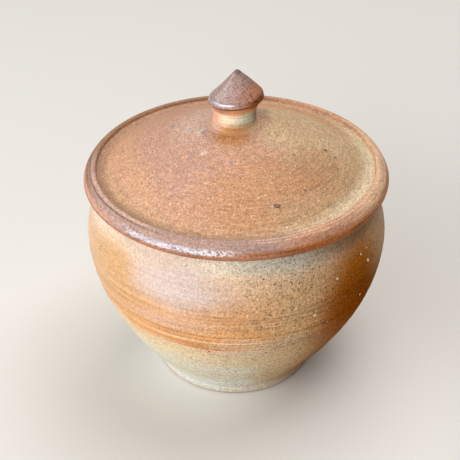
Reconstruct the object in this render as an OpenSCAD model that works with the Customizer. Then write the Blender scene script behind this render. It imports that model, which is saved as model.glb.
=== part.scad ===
// Thrown stoneware sugar pot with a loose flanged lid and a pointed knob.
// Millimetres, +Z up, origin on the table at the middle of the foot.

/* [Pot] */
// Widest diameter of the pot, at its belly
belly_d = 104.8; // [98:0.2:112]
// Height of the belly above the table
belly_z = 55.5; // [50:0.5:60]
// Height of the mouth, on which the lid sits
mouth_z = 74.4; // [70:0.2:84]
// How much narrower the mouth is than the belly, outside
mouth_in = 11; // [9:0.2:17]
// Thickness of the thrown wall
wall = 4.6; // [3.5:0.1:6]
// Thickness of the floor, from the turned recess to the inside
floor_t = 5; // [4:0.5:8]
// Thickness of the lip
lip_w = 4; // [3:0.1:5]
// Rounding of the lip, inside and outside
lip_round = 0.8; // [0.4:0.1:1.2]
// How long the wall keeps the lean of the foot
lower_pull = 12; // [8:0.5:16]
// How long the wall stays upright below the belly
belly_pull = 23; // [18:0.5:28]
// How long the wall stays upright above the belly
shoulder_pull = 5; // [3:0.5:8]
// Inward lean of the wall where it reaches the lip, from upright
shoulder_lean = 34; // [20:1:42]

/* [Foot] */
// Diameter of the foot on the table
foot_d = 56.6; // [50:0.2:59]
// Diameter at which the wall leaves the foot
foot_top_d = 57; // [52:0.2:60]
// Height of the nearly upright edge of the foot
foot_h = 3; // [2:0.5:5]
// Outward lean of the wall where it leaves the foot, from upright
foot_lean = 33; // [25:1:40]
// Width of the ring that the pot stands on
foot_ring_w = 6.5; // [4:0.5:10]
// Depth turned out under the base
foot_recess = 2; // [1:0.5:3]
// Bevel round the edges of the foot ring
foot_bevel = 0.8; // [0.4:0.1:1.2]

/* [Lid] */
// How much wider the lid is than the belly
lid_over = 0.2; // [-3:0.1:7]
// Radius of the rolled outer edge
bead_r = 2.7; // [2:0.1:3]
// Width of the rim, from its outer edge to the gully
rim_w = 4.4; // [4:0.1:6]
// Height of the rim's inner edge above the mouth
rim_h = 6.5; // [6:0.1:8]
// Rounding of the rim's inner edge
rim_round = 0.6; // [0.3:0.1:0.8]
// How far round the rolled edge the tooled groove lies, in degrees above level
groove_angle = 58; // [45:1:70]
// Width of that groove
groove_w = 0.7; // [0.4:0.1:1]
// Depth of the groove
groove_depth = 0.3; // [0.1:0.1:0.5]
// Drop from the rim's inner edge to the gully
gully_depth = 1.4; // [0.8:0.1:2]
// Width of the gully between the rim and the dome
gully_w = 3; // [2:0.1:4]
// Rise of the dome from the gully to the seat of the knob
dome_h = 16.7; // [12:0.1:22]
// Bow of the dome: how much its edge is steeper than its mean slope, in degrees
dome_bow = 7; // [3:0.5:10]
// Thickness of the lid's dome
dome_t = 4.4; // [3.5:0.1:5]
// Depth of the locating flange below the mouth
flange_depth = 6; // [4:0.5:9]
// Thickness of the flange
flange_t = 3.6; // [3:0.1:5]
// Clearance all round between the flange and the mouth
fit_gap = 1; // [0.6:0.1:1.6]

/* [Knob] */
// Height of the knob above its seat
knob_h = 19.2; // [16:0.1:24]
// Diameter of the skirt, the widest part of the knob
skirt_d = 18.8; // [17:0.1:24]
// Height of the skirt's edge above the seat
skirt_z = 9.3; // [7.5:0.1:11]
// Rounding of the skirt's edge
skirt_round = 0.5; // [0.3:0.1:1]
// How far that rounding turns under the skirt, in degrees below level
skirt_under = 40; // [20:1:60]
// Diameter of the neck
neck_d = 14.4; // [12:0.1:16]
// Height of the neck, up to where it opens towards the skirt
neck_h = 3.4; // [3:0.1:5]
// Diameter of the foot of the knob
knob_base_d = 16; // [15:0.1:20]
// Upright edge of the foot of the knob
knob_base_h = 0.5; // [0.3:0.1:1]
// Rounding of the knob's tip
tip_round = 0.5; // [0.3:0.1:1.5]

/* [Hidden] */
$fn = 96;

steps = 24;        // points along each curve of a section
arc_steps = 8;     // points round each small rounding
bowl_join = 9;     // step of the wall's lower curve at which the bowl of the floor joins it
throat_join = 36;  // step of the wall at which the throat joins it
dome_join = 3;     // step of the dome at which the gully joins it

belly_r = belly_d / 2;
mouth_r = belly_r - mouth_in / 2;
foot_r = foot_d / 2;
foot_top_r = foot_top_d / 2;
recess_r = foot_r - foot_bevel - foot_ring_w;
floor_z = foot_recess + floor_t;

// Ends and handles of the two curves of the outer wall
foot_top = [foot_top_r, foot_h];
foot_handle = foot_top + lower_pull * [sin(foot_lean), cos(foot_lean)];
belly = [belly_r, belly_z];
belly_low = belly - [0, belly_pull];
belly_high = belly + [0, shoulder_pull];
lip_mid = [mouth_r - lip_round, mouth_z - lip_round];
lip = lip_mid + lip_round * [cos(shoulder_lean), sin(shoulder_lean)];
lip_handle = lip - shoulder_pull * [-sin(shoulder_lean), cos(shoulder_lean)];

// The throat is the narrowest inside of the wall, and the flange drops into it
throat_r = mouth_r - lip_w;
throat_top = [throat_r, mouth_z - lip_round];
flange_r = throat_r - fit_gap;
flange_in_r = flange_r - flange_t;
flange_z = mouth_z - flange_depth;
flange_round = flange_t / 3;

lid_r = belly_r + lid_over / 2;
bead_mid = [lid_r - bead_r, mouth_z + bead_r];
rim_inner = [lid_r - rim_w, mouth_z + rim_h];
gully = [rim_inner[0] - gully_w / 2, rim_inner[1] - gully_depth];
dome_edge = gully - [gully_w / 2, 0];
knob_base_r = knob_base_d / 2;
knob_z = gully[1] + dome_h;
knob_seat = [knob_base_r, knob_z];
dome_mean = atan2(knob_z - dome_edge[1], dome_edge[0] - knob_base_r);
dome_pull = norm(knob_seat - dome_edge) / 3;
dome_low = dome_edge + dome_pull * [-cos(dome_mean + dome_bow), sin(dome_mean + dome_bow)];
dome_high = knob_seat + dome_pull * [cos(dome_mean - dome_bow), -sin(dome_mean - dome_bow)];

neck_r = neck_d / 2;
skirt_r = skirt_d / 2;

// Point at t, from 0 to 1, on a cubic curve with ends a and d and handles b and c
function curve(a, b, c, d, t) =
    pow(1 - t, 3) * a + 3 * pow(1 - t, 2) * t * b + 3 * (1 - t) * t * t * c + pow(t, 3) * d;

// Unit direction of that curve at t
function heading(a, b, c, d, t) =
    let (v = pow(1 - t, 2) * (b - a) + 2 * (1 - t) * t * (c - b) + t * t * (d - c))
    v / norm(v);

// Points along a whole curve
function along(a, b, c, d, n = steps) = [for (i = [0:n]) curve(a, b, c, d, i / n)];

// Points of a list after its first, for a curve that starts where the last one ended
function after(p) = [for (i = [1:len(p) - 1]) p[i]];

// Points on an arc about middle m from angle a to angle b
function arc(m, r, a, b, n = arc_steps) =
    [for (i = [0:n]) let (w = a + (b - a) * i / n) m + r * [cos(w), sin(w)]];

// Outside of the pot's wall: s runs from 0 at the foot, through 1 at the belly, to 2 at the lip
function wall_outside(s) =
    s < 1 ? curve(foot_top, foot_handle, belly_low, belly, s)
          : curve(belly, belly_high, lip_handle, lip, s - 1);

function wall_heading(s) =
    s < 1 ? heading(foot_top, foot_handle, belly_low, belly, s)
          : heading(belly, belly_high, lip_handle, lip, s - 1);

// Inside of the wall, one wall thickness in from the outside
function wall_inside(s) =
    let (v = wall_heading(s))
    wall_outside(s) + wall * [-v[1], v[0]];

// Top of the dome from the gully at t = 0 to the knob's seat at t = 1, and its underside
function dome_top(t) = curve(dome_edge, dome_low, dome_high, knob_seat, t);
function dome_heading(t) = heading(dome_edge, dome_low, dome_high, knob_seat, t);
function dome_under(t) =
    let (v = dome_heading(t))
    dome_top(t) - dome_t * [v[1], -v[0]];

// Pot: foot ring turned out underneath, bellied wall, rounded lip and bowl-shaped inside
module pot_body() {
    foot_under = [
        [0, foot_recess],
        [recess_r - foot_bevel, foot_recess],
        [recess_r, 0],
        [foot_r - foot_bevel, 0],
        [foot_r, foot_bevel]
    ];
    outside = [for (i = [0:2 * steps]) wall_outside(i / steps)];
    lip_out = arc(lip_mid, lip_round, shoulder_lean, 90);
    lip_in = arc(throat_top + [lip_round, 0], lip_round, 90, 180);
    throat_low = wall_inside(throat_join / steps);
    throat_pull = norm(throat_low - throat_top) / 3;
    throat = along(throat_top, throat_top - [0, throat_pull],
                   throat_low + throat_pull * wall_heading(throat_join / steps), throat_low, arc_steps);
    inside = [for (i = [throat_join - 1:-1:bowl_join]) wall_inside(i / steps)];
    bowl_top = wall_inside(bowl_join / steps);
    bowl_pull = bowl_top[1] - floor_z;
    bowl = along(bowl_top, bowl_top - bowl_pull * wall_heading(bowl_join / steps),
                 [bowl_top[0] / 2, floor_z], [0, floor_z]);
    color("peru")
    rotate_extrude()
    polygon(concat(foot_under, outside, after(lip_out), lip_in, after(throat), inside, after(bowl)));
}

// Lid: flat seat, locating flange, rolled rim with a tooled groove, gully and bowed dome
module lid() {
    under = [
        for (i = [steps:-1:0])
        if (dome_under(i / steps)[0] < flange_in_r - flange_t)
        dome_under(i / steps)
    ];
    under_end = under[len(under) - 1];
    flange_in = [flange_in_r, (under_end[1] + flange_z + flange_round) / 2];
    flange_corner = along(under_end, under_end + flange_t / 2 * [cos(dome_mean), -sin(dome_mean)],
                          (flange_in + [flange_in_r, under_end[1]]) / 2, flange_in, arc_steps);
    flange_tip = concat(
        arc([flange_in_r + flange_round, flange_z + flange_round], flange_round, 180, 270),
        arc([flange_r - flange_round, flange_z + flange_round], flange_round, 270, 360)
    );
    seat = [[flange_r, mouth_z]];
    bead = arc(bead_mid, bead_r, -90, groove_angle, 2 * arc_steps);
    groove_out = bead[len(bead) - 1];
    groove_in = groove_out - [groove_w, 0];
    groove_low = [[(groove_out[0] + groove_in[0]) / 2, groove_out[1] - groove_depth]];
    rim_top = rim_inner + [rim_round, 0];
    band = along(groove_in, groove_in + (rim_top - groove_in) / 3,
                 rim_top + [(groove_in[0] - rim_top[0]) / 3, 0], rim_top, arc_steps);
    rim_edge = arc(rim_top - [0, rim_round], rim_round, 90, 180);
    rim_foot = rim_edge[len(rim_edge) - 1];
    gully_curve = along(rim_foot, [rim_inner[0], gully[1]], gully + [gully_w / 4, 0], gully, arc_steps);
    dome_foot = dome_top(dome_join / steps);
    dome_reach = norm(dome_foot - gully) / 3;
    dome_start = along(gully, gully - [dome_reach, 0],
                       dome_foot - dome_reach * dome_heading(dome_join / steps), dome_foot, arc_steps);
    dome = [for (i = [dome_join + 1:steps]) dome_top(i / steps)];
    crown_under = [[0, dome_under(1)[1]]];
    color("sienna")
    rotate_extrude()
    polygon(concat(crown_under, under, after(flange_corner), flange_tip, seat, bead, groove_low, band,
                   after(rim_edge), after(gully_curve), after(dome_start), dome, [[0, knob_z]]));
}

// Knob: foot luted to the dome, waisted neck, undercut skirt and blunt cone
module knob() {
    base = [[0, knob_z], [knob_base_r, knob_z], [knob_base_r, knob_z + knob_base_h]];
    waist = [neck_r, knob_z + neck_h];
    foot_curve = along(base[2], (base[2] + waist) / 2 - [neck_h / 4, neck_h / 4],
                       waist - [0, neck_h / 3], waist, arc_steps);
    skirt_mid = [skirt_r - skirt_round, knob_z + skirt_z];
    cone_angle = atan2(skirt_mid[0] - tip_round, knob_h - skirt_z - tip_round);
    skirt = arc(skirt_mid, skirt_round, -skirt_under, 90 - cone_angle);
    flare = along(waist, waist + [0, neck_h / 2], skirt[0] - [neck_h / 4, neck_h / 3], skirt[0], arc_steps);
    tip = arc([0, knob_z + knob_h - tip_round], tip_round, 90 - cone_angle, 90);
    color("rosybrown")
    rotate_extrude()
    polygon(concat(base, after(foot_curve), after(flare), after(skirt), tip));
}

pot_body();
lid();
knob();
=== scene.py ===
import math
import random

import bpy
from mathutils import Matrix, Vector
from mathutils.bvhtree import BVHTree


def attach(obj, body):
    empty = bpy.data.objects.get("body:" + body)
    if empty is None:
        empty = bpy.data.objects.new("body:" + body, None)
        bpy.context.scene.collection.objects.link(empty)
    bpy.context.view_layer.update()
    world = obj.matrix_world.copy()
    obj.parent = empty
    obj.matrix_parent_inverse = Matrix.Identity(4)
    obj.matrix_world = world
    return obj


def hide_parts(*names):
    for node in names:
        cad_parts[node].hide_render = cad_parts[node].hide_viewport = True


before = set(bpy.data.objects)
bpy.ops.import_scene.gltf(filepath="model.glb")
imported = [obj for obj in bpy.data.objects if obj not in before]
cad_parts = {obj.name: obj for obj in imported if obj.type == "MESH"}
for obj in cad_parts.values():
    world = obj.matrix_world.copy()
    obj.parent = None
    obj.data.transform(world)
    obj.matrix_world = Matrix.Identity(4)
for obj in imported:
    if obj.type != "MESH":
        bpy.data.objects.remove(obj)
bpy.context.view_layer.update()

mm = 0.001
fullTurn = 2 * math.pi


# Node trees: a wire is one output socket, and sums on wires add Math nodes
class Wire:
    def __init__(self, graph, socket):
        self.graph = graph
        self.socket = socket

    def calc(self, operation, *others):
        return self.graph.add("ShaderNodeMath", {"operation": operation}, [self, *others])

    def calcFrom(self, operation, other):  # the other value comes first
        return self.graph.add("ShaderNodeMath", {"operation": operation}, [other, self])

    def __add__(self, other):
        return self.calc("ADD", other)

    def __sub__(self, other):
        return self.calc("SUBTRACT", other)

    def __mul__(self, other):
        return self.calc("MULTIPLY", other)

    def __truediv__(self, other):
        return self.calc("DIVIDE", other)

    def __rsub__(self, other):
        return self.calcFrom("SUBTRACT", other)

    def __rtruediv__(self, other):
        return self.calcFrom("DIVIDE", other)

    __radd__ = __add__
    __rmul__ = __mul__


class Graph:
    def __init__(self, tree):
        self.tree = tree

    def node(self, kind, settings=None, inputs=None):
        made = self.tree.nodes.new(kind)
        for key, value in (settings or {}).items():
            if key == "stops":  # colour ramp: place and colour of each stop
                ramp = made.color_ramp
                while len(ramp.elements) < len(value):
                    ramp.elements.new(1.0)
                for stop, (place, colour) in zip(ramp.elements, value):
                    stop.position = place
                    stop.color = colour
            else:
                setattr(made, key, value)
        pairs = inputs.items() if isinstance(inputs, dict) else enumerate(inputs or [])
        for key, value in pairs:
            if isinstance(value, Wire):
                self.tree.links.new(value.socket, made.inputs[key])
            elif value is not None:
                made.inputs[key].default_value = value
        return made

    def add(self, kind, settings=None, inputs=None, out=0):
        return Wire(self, self.node(kind, settings, inputs).outputs[out])

    def attribute(self, name, kind="FLOAT"):
        return self.add("GeometryNodeInputNamedAttribute", {"data_type": kind}, {"Name": name})


# Section curves in millimetres: a point is (distance from the axis, height)
def cubic(a, b, c, d, t):
    return (1 - t) ** 3 * a + 3 * (1 - t) ** 2 * t * b + 3 * (1 - t) * t * t * c + t ** 3 * d


def cubicHeading(a, b, c, d, t):
    return ((1 - t) ** 2 * (b - a) + 2 * (1 - t) * t * (c - b) + t * t * (d - c)).normalized()


def cubicRun(a, b, c, d, count=24):
    return [cubic(a, b, c, d, i / count) for i in range(count + 1)]


def polar(angle, length=1.0):
    return Vector((math.cos(math.radians(angle)), math.sin(math.radians(angle)))) * length


def arcRun(middle, radius, fromAngle, toAngle, count=10):
    return [middle + polar(fromAngle + (toAngle - fromAngle) * i / count, radius) for i in range(count + 1)]


# Joins stretches of (points, longest step, throwing rings, inside, bare clay) into rows of a section
def joinSection(stretches, shortest=0.02):
    rows, along = [], 0.0
    for points, step, *marks in stretches:
        for point in points:
            if not rows:
                rows.append((point, along, *marks))
                continue
            last = rows[-1][0]
            gap = (point - last).length
            if gap < shortest:
                continue
            parts = max(1, math.ceil(gap / step))
            for i in range(1, parts + 1):
                rows.append((last.lerp(point, i / parts), along + gap * i / parts, *marks))
            along += gap
    return rows


# Starts a Geometry Nodes tree with geometry in and out, named sizes and a material
def startTree(name, sizes):
    tree = bpy.data.node_groups.new(name, "GeometryNodeTree")
    tree.interface.new_socket("Geometry", in_out="INPUT", socket_type="NodeSocketGeometry")
    for key, value in sizes.items():
        kind = "NodeSocketInt" if isinstance(value, int) else "NodeSocketFloat"
        tree.interface.new_socket(key, in_out="INPUT", socket_type=kind).default_value = value
    tree.interface.new_socket("Material", in_out="INPUT", socket_type="NodeSocketMaterial")
    tree.interface.new_socket("Geometry", in_out="OUTPUT", socket_type="NodeSocketGeometry")
    graph = Graph(tree)
    given = tree.nodes.new("NodeGroupInput")
    return graph, {socket.name: Wire(graph, socket) for socket in given.outputs}


wheelHabits = dict(  # the same for every piece
    slowScale=0.9, slowClimb=12.0,  # out of round: noise round the axis and up it
    broadScale=22.0,  # where rings come and go
    crossPitch=0.537, crossDepth=0.8,  # second rings that run the other way
    ringDepth=0.28, ringSink=0.5,  # keep every ring inside the plain wall
    weld=0.001 * mm,
)


# Geometry Nodes tree that throws a section round the axis, with rings, wobble and lean
def wheelTree(h):
    g, size = startTree("Thrown on the wheel", {
        "Segments": 200, "Ring depth": 0.0, "Ring pitch": 3 * mm, "Wobble": 0.0, "Seed": 0.0,
        "Lean from": 0.0, "Lean to": 1.0, "Shift low": 0.0, "Shift high": 0.0, "Skew": 0.0, "Nod": 0.0})
    circle = g.add("GeometryNodeCurvePrimitiveCircle", {"mode": "RADIUS"},
                   {"Resolution": size["Segments"], "Radius": 1.0})
    turn = g.add("GeometryNodeSplineParameter", out="Factor") * fullTurn
    circle = g.add("GeometryNodeStoreNamedAttribute", {"data_type": "FLOAT", "domain": "POINT"},
                   {"Geometry": circle, "Name": "turn", "Value": turn})
    section = g.add("GeometryNodeMeshToCurve", inputs={"Mesh": size["Geometry"]})
    wall = g.add("GeometryNodeCurveToMesh", inputs={"Curve": circle, "Profile Curve": section})
    wall = g.add("GeometryNodeFlipFaces", inputs={"Mesh": wall})
    angle, radius, height = g.attribute("turn"), g.attribute("sectionR"), g.attribute("sectionZ")

    # out of round by a slow noise, always to the inside of the true circle
    cosine, sine = angle.calc("COSINE"), angle.calc("SINE")
    around = g.add("ShaderNodeCombineXYZ", inputs=[cosine, sine, height * h["slowClimb"]])
    slow = g.add("ShaderNodeTexNoise", {"noise_dimensions": "4D"},
                 {"Vector": around, "W": size["Seed"], "Scale": h["slowScale"], "Detail": 0.0})
    radius = (radius - slow * size["Wobble"]).calc("MAXIMUM", 0.0)
    place = g.add("ShaderNodeCombineXYZ", inputs=[radius * cosine, radius * sine, height])
    wall = g.add("GeometryNodeSetPosition", inputs={"Geometry": wall, "Position": place})
    wall = g.add("GeometryNodeMergeByDistance", inputs={"Geometry": wall, "Distance": h["weld"]})

    # rings climb one pitch a turn, and come and go with a broad noise
    spot = g.add("GeometryNodeInputPosition")
    climb = g.attribute("along") / size["Ring pitch"] * fullTurn
    broad = g.add("ShaderNodeTexNoise", {"noise_dimensions": "4D"},
                  {"Vector": spot, "W": size["Seed"], "Scale": h["broadScale"], "Detail": 1.0})
    waves = (climb + angle).calc("SINE") + (climb * h["crossPitch"] - angle).calc("SINE") * h["crossDepth"]
    rings = (waves * h["ringDepth"] - h["ringSink"]) * broad * g.attribute("ringing") * size["Ring depth"]
    push = g.add("ShaderNodeVectorMath", {"operation": "SCALE"},
                 {"Vector": g.add("GeometryNodeInputNormal"), "Scale": rings})
    wall = g.add("GeometryNodeSetPosition", inputs={"Geometry": wall, "Offset": push})

    # hand-made lean: a sideways shift between two heights, and a slope of the upper part
    parts = g.node("ShaderNodeSeparateXYZ", inputs=[g.add("GeometryNodeInputPosition")])
    x, y, z = (Wire(g, socket) for socket in parts.outputs)
    share = g.add("ShaderNodeMapRange", {"interpolation_type": "SMOOTHSTEP"},
                  {"Value": z, "From Min": size["Lean from"], "From Max": size["Lean to"]})
    shift = size["Shift low"] + (size["Shift high"] - size["Shift low"]) * share
    slope = (x * size["Skew"] - y * size["Nod"]) * share
    moved = g.add("ShaderNodeCombineXYZ", inputs=[shift, 0.0, slope])
    wall = g.add("GeometryNodeSetPosition", inputs={"Geometry": wall, "Offset": moved})
    wall = g.add("GeometryNodeSetShadeSmooth", inputs={"Geometry": wall})
    wall = g.add("GeometryNodeRealizeInstances", inputs={"Geometry": wall})
    wall = g.add("GeometryNodeSetMaterial", inputs={"Geometry": wall, "Material": size["Material"]})
    g.node("NodeGroupOutput", inputs=[wall])
    return g.tree


def socketId(tree, name):
    return next(s.identifier for s in tree.interface.items_tree if s.name == name and s.in_out == "INPUT")


# Evaluates one Geometry Nodes tree on a mesh and keeps the result as a plain mesh object
def grow(name, mesh, tree, values):
    source = bpy.data.objects.new(name + "Source", mesh)
    modifier = source.modifiers.new("Grow", "NODES")
    modifier.node_group = tree
    for key, value in values.items():
        modifier[socketId(tree, key)] = value
    bpy.context.scene.collection.objects.link(source)
    bpy.context.view_layer.update()
    ready = source.evaluated_get(bpy.context.evaluated_depsgraph_get())
    plain = bpy.data.meshes.new_from_object(ready)
    plain.name = name
    source.modifiers.remove(modifier)
    bpy.data.objects.remove(source)
    piece = bpy.data.objects.new(name, plain)
    bpy.context.scene.collection.objects.link(piece)
    return piece


def throwPiece(p, rows, look):
    mesh = bpy.data.meshes.new(p["name"] + "Section")
    marks = [(point.x * mm, point.y * mm, along * mm, *rest) for point, along, *rest in rows]
    mesh.from_pydata([(r, 0, z) for r, z, *_ in marks], [(i, i + 1) for i in range(len(rows) - 1)], [])
    keys = ("sectionR", "sectionZ", "along", "ringing", "inside", "bare")
    for key, numbers in zip(keys, zip(*marks)):
        mesh.attributes.new(key, "FLOAT", "POINT").data.foreach_set("value", numbers)
    piece = grow(p["name"], mesh, wheel, dict(p["throwing"], Material=look))
    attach(piece, p["body"])
    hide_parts(p["node"])
    print("thrown", p["name"], len(rows), "rows,", len(piece.data.polygons), "faces")
    return piece


wheel = wheelTree(wheelHabits)
print("wheel ready,", len(wheel.nodes), "nodes")


# A skin is one material: places in millimetres, colours laid over each other, then grain, specks and bump
class Skin(Graph):
    seedStep = 3.7  # every noise has a seed of its own
    nearAxis = 0.01
    broadSize, broadShade = 25.0, 0.94  # faint cloudiness under all colours
    speckLeast, speckSpread, speckCore = 0.4, 0.6, 0.45  # shares of a speck's size

    def __init__(self, name, seed):
        self.look = bpy.data.materials.new(name)
        self.look.use_nodes = True
        super().__init__(self.look.node_tree)
        self.seed = seed
        metres = self.add("ShaderNodeTexCoord", out="Object")
        self.spot = self.add("ShaderNodeVectorMath", {"operation": "SCALE"},
                             {"Vector": metres, "Scale": 1 / mm})
        parts = self.node("ShaderNodeSeparateXYZ", inputs=[self.spot])
        self.x, self.y, self.z = (Wire(self, socket) for socket in parts.outputs)
        self.r = (self.x * self.x + self.y * self.y).calc("SQRT").calc("MAXIMUM", self.nearAxis)
        self.colour = None

    def mark(self, name):
        return self.add("ShaderNodeAttribute", {"attribute_name": name}, out="Fac")

    def noise(self, size, detail=2.0, stretch=(1, 1, 1)):  # runs from about -0.5 to 0.5
        self.seed += self.seedStep
        spot = self.add("ShaderNodeVectorMath", {"operation": "MULTIPLY"}, [self.spot, stretch])
        return self.add("ShaderNodeTexNoise", {"noise_dimensions": "4D"},
                        {"Vector": spot, "W": self.seed, "Scale": 1 / size, "Detail": detail}) - 0.5

    def noiseAt(self, place, scale):  # the same over a place of its own
        return self.add("ShaderNodeTexNoise", None, {"Vector": place, "Scale": scale, "Detail": 2.0}) - 0.5

    def wander(self, level, *steps):  # a level made uneven by noises of (size, reach)
        for size, reach in steps:
            level = level + self.noise(size) * reach
        return level

    def ease(self, value, start, end):  # 0 at start, 1 at end
        return self.add("ShaderNodeMapRange", {"interpolation_type": "SMOOTHSTEP"},
                        {"Value": value, "From Min": start, "From Max": end})

    def away(self, angle):  # degrees round the axis from a direction; 0 is the front, 90 the right side
        turn = math.radians(angle)
        facing = (self.x * math.sin(turn) - self.y * math.cos(turn)) / self.r
        return facing.calc("MINIMUM", 1.0).calc("MAXIMUM", -1.0).calc("ARCCOSINE") * math.degrees(1)

    def side(self, angle, full, none):  # full and none are degrees away from the direction
        return self.ease(self.away(angle), none, full)

    def line(self, level, place, half):
        return self.ease((level - place).calc("ABSOLUTE"), half, half / 4)

    # Shapes of flashing: an oval, a stripe part of the way round, an arc between soft edges, and a fan
    def oval(self, level, angle, place, wide, tall, soft=0.5):
        across, up = self.away(angle) / wide, (level - place) / tall
        return self.ease((across * across + up * up).calc("SQRT"), 1 + soft, 1 - soft)

    def stripe(self, level, place, half, angle, full, none):
        return self.line(level, place, half) * self.side(angle, full, none)

    def arc(self, level, angle, full, none, *edges):
        share = self.side(angle, full, none)
        for start, end in zip(edges[::2], edges[1::2]):
            share = share * self.ease(level, start, end)
        return share

    def fan(self, level, angle, pivot, none, full, start, end):
        return self.ease(self.away(angle) + (level - pivot), none, full) * self.ease(level, start, end)

    # Lays rows of (shape, colour, places, share) in order, and gives back the shapes by colour
    def flash(self, colours, level, rows, flat=None):  # stripes go by the flat level
        shapes = dict(ring=self.ease, oval=self.oval, stripe=self.stripe, arc=self.arc, fan=self.fan)
        laid = {}
        for shape, colour, *places, share in rows:
            laid[colour] = shapes[shape](flat if shape == "stripe" else level, *places)
            self.lay(colours[colour], laid[colour] * share)
        return laid

    def lay(self, colour, share):
        self.colour = self.add("ShaderNodeMix", {"data_type": "RGBA"},
                               {0: share, 6: self.colour, 7: (*colour, 1.0)}, out=2)

    def start(self, colour):
        darker = [part * self.broadShade for part in colour]
        self.colour = self.add("ShaderNodeMix", {"data_type": "RGBA"}, {
            0: self.noise(self.broadSize) + 0.5, 6: (*colour, 1.0), 7: (*darker, 1.0)}, out=2)

    def ramp(self, value, stops):
        self.colour = self.add("ShaderNodeValToRGB", {"stops": [(p, (*c, 1.0)) for p, c in stops]}, [value])

    def shade(self, value):  # 1 leaves the colour as it is
        self.colour = self.add("ShaderNodeHueSaturation", None, {"Value": value, "Color": self.colour})

    def bare(self, colours):  # the lining inside, and clay without a skin
        self.lay(colours["lining"], self.mark("inside"))
        self.lay(colours["bareClay"], self.mark("bare"))

    def specks(self, cell, size, share):  # one speck in a share of the cells, of uneven size
        self.seed += self.seedStep
        shift = (self.seed, self.seed * 2, self.seed * 3)
        spot = self.add("ShaderNodeVectorMath", {"operation": "ADD"}, [self.spot, shift])
        cells = self.node("ShaderNodeTexVoronoi", {"voronoi_dimensions": "3D"},
                          {"Vector": spot, "Scale": 1 / cell})
        draw = self.node("ShaderNodeSeparateColor", None, [Wire(self, cells.outputs["Color"])])
        kept = Wire(self, draw.outputs[0]).calc("LESS_THAN", share)
        girth = Wire(self, draw.outputs[1]) * (size * self.speckSpread) + size * self.speckLeast
        distance = Wire(self, cells.outputs["Distance"]) * cell
        return self.ease(distance, girth, girth * self.speckCore) * kept

    def fire(self, rough, coat, height, sheen, coatIndex=1.5, coatRough=0.22):  # height of the bump in mm
        shader = self.look.node_tree.nodes["Principled BSDF"]
        bump = self.add("ShaderNodeBump", None, {"Strength": 1.0, "Distance": mm, "Height": height})
        varying = {"Base Color": self.colour, "Roughness": rough, "Coat Weight": coat, "Normal": bump}
        for key, wire in varying.items():
            self.tree.links.new(wire.socket, shader.inputs[key])
        shader.inputs["Specular IOR Level"].default_value = sheen
        shader.inputs["Coat Roughness"].default_value = coatRough
        shader.inputs["Coat IOR"].default_value = coatIndex
        print("fired", self.look.name, len(self.tree.nodes), "nodes")
        return self.look


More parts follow.
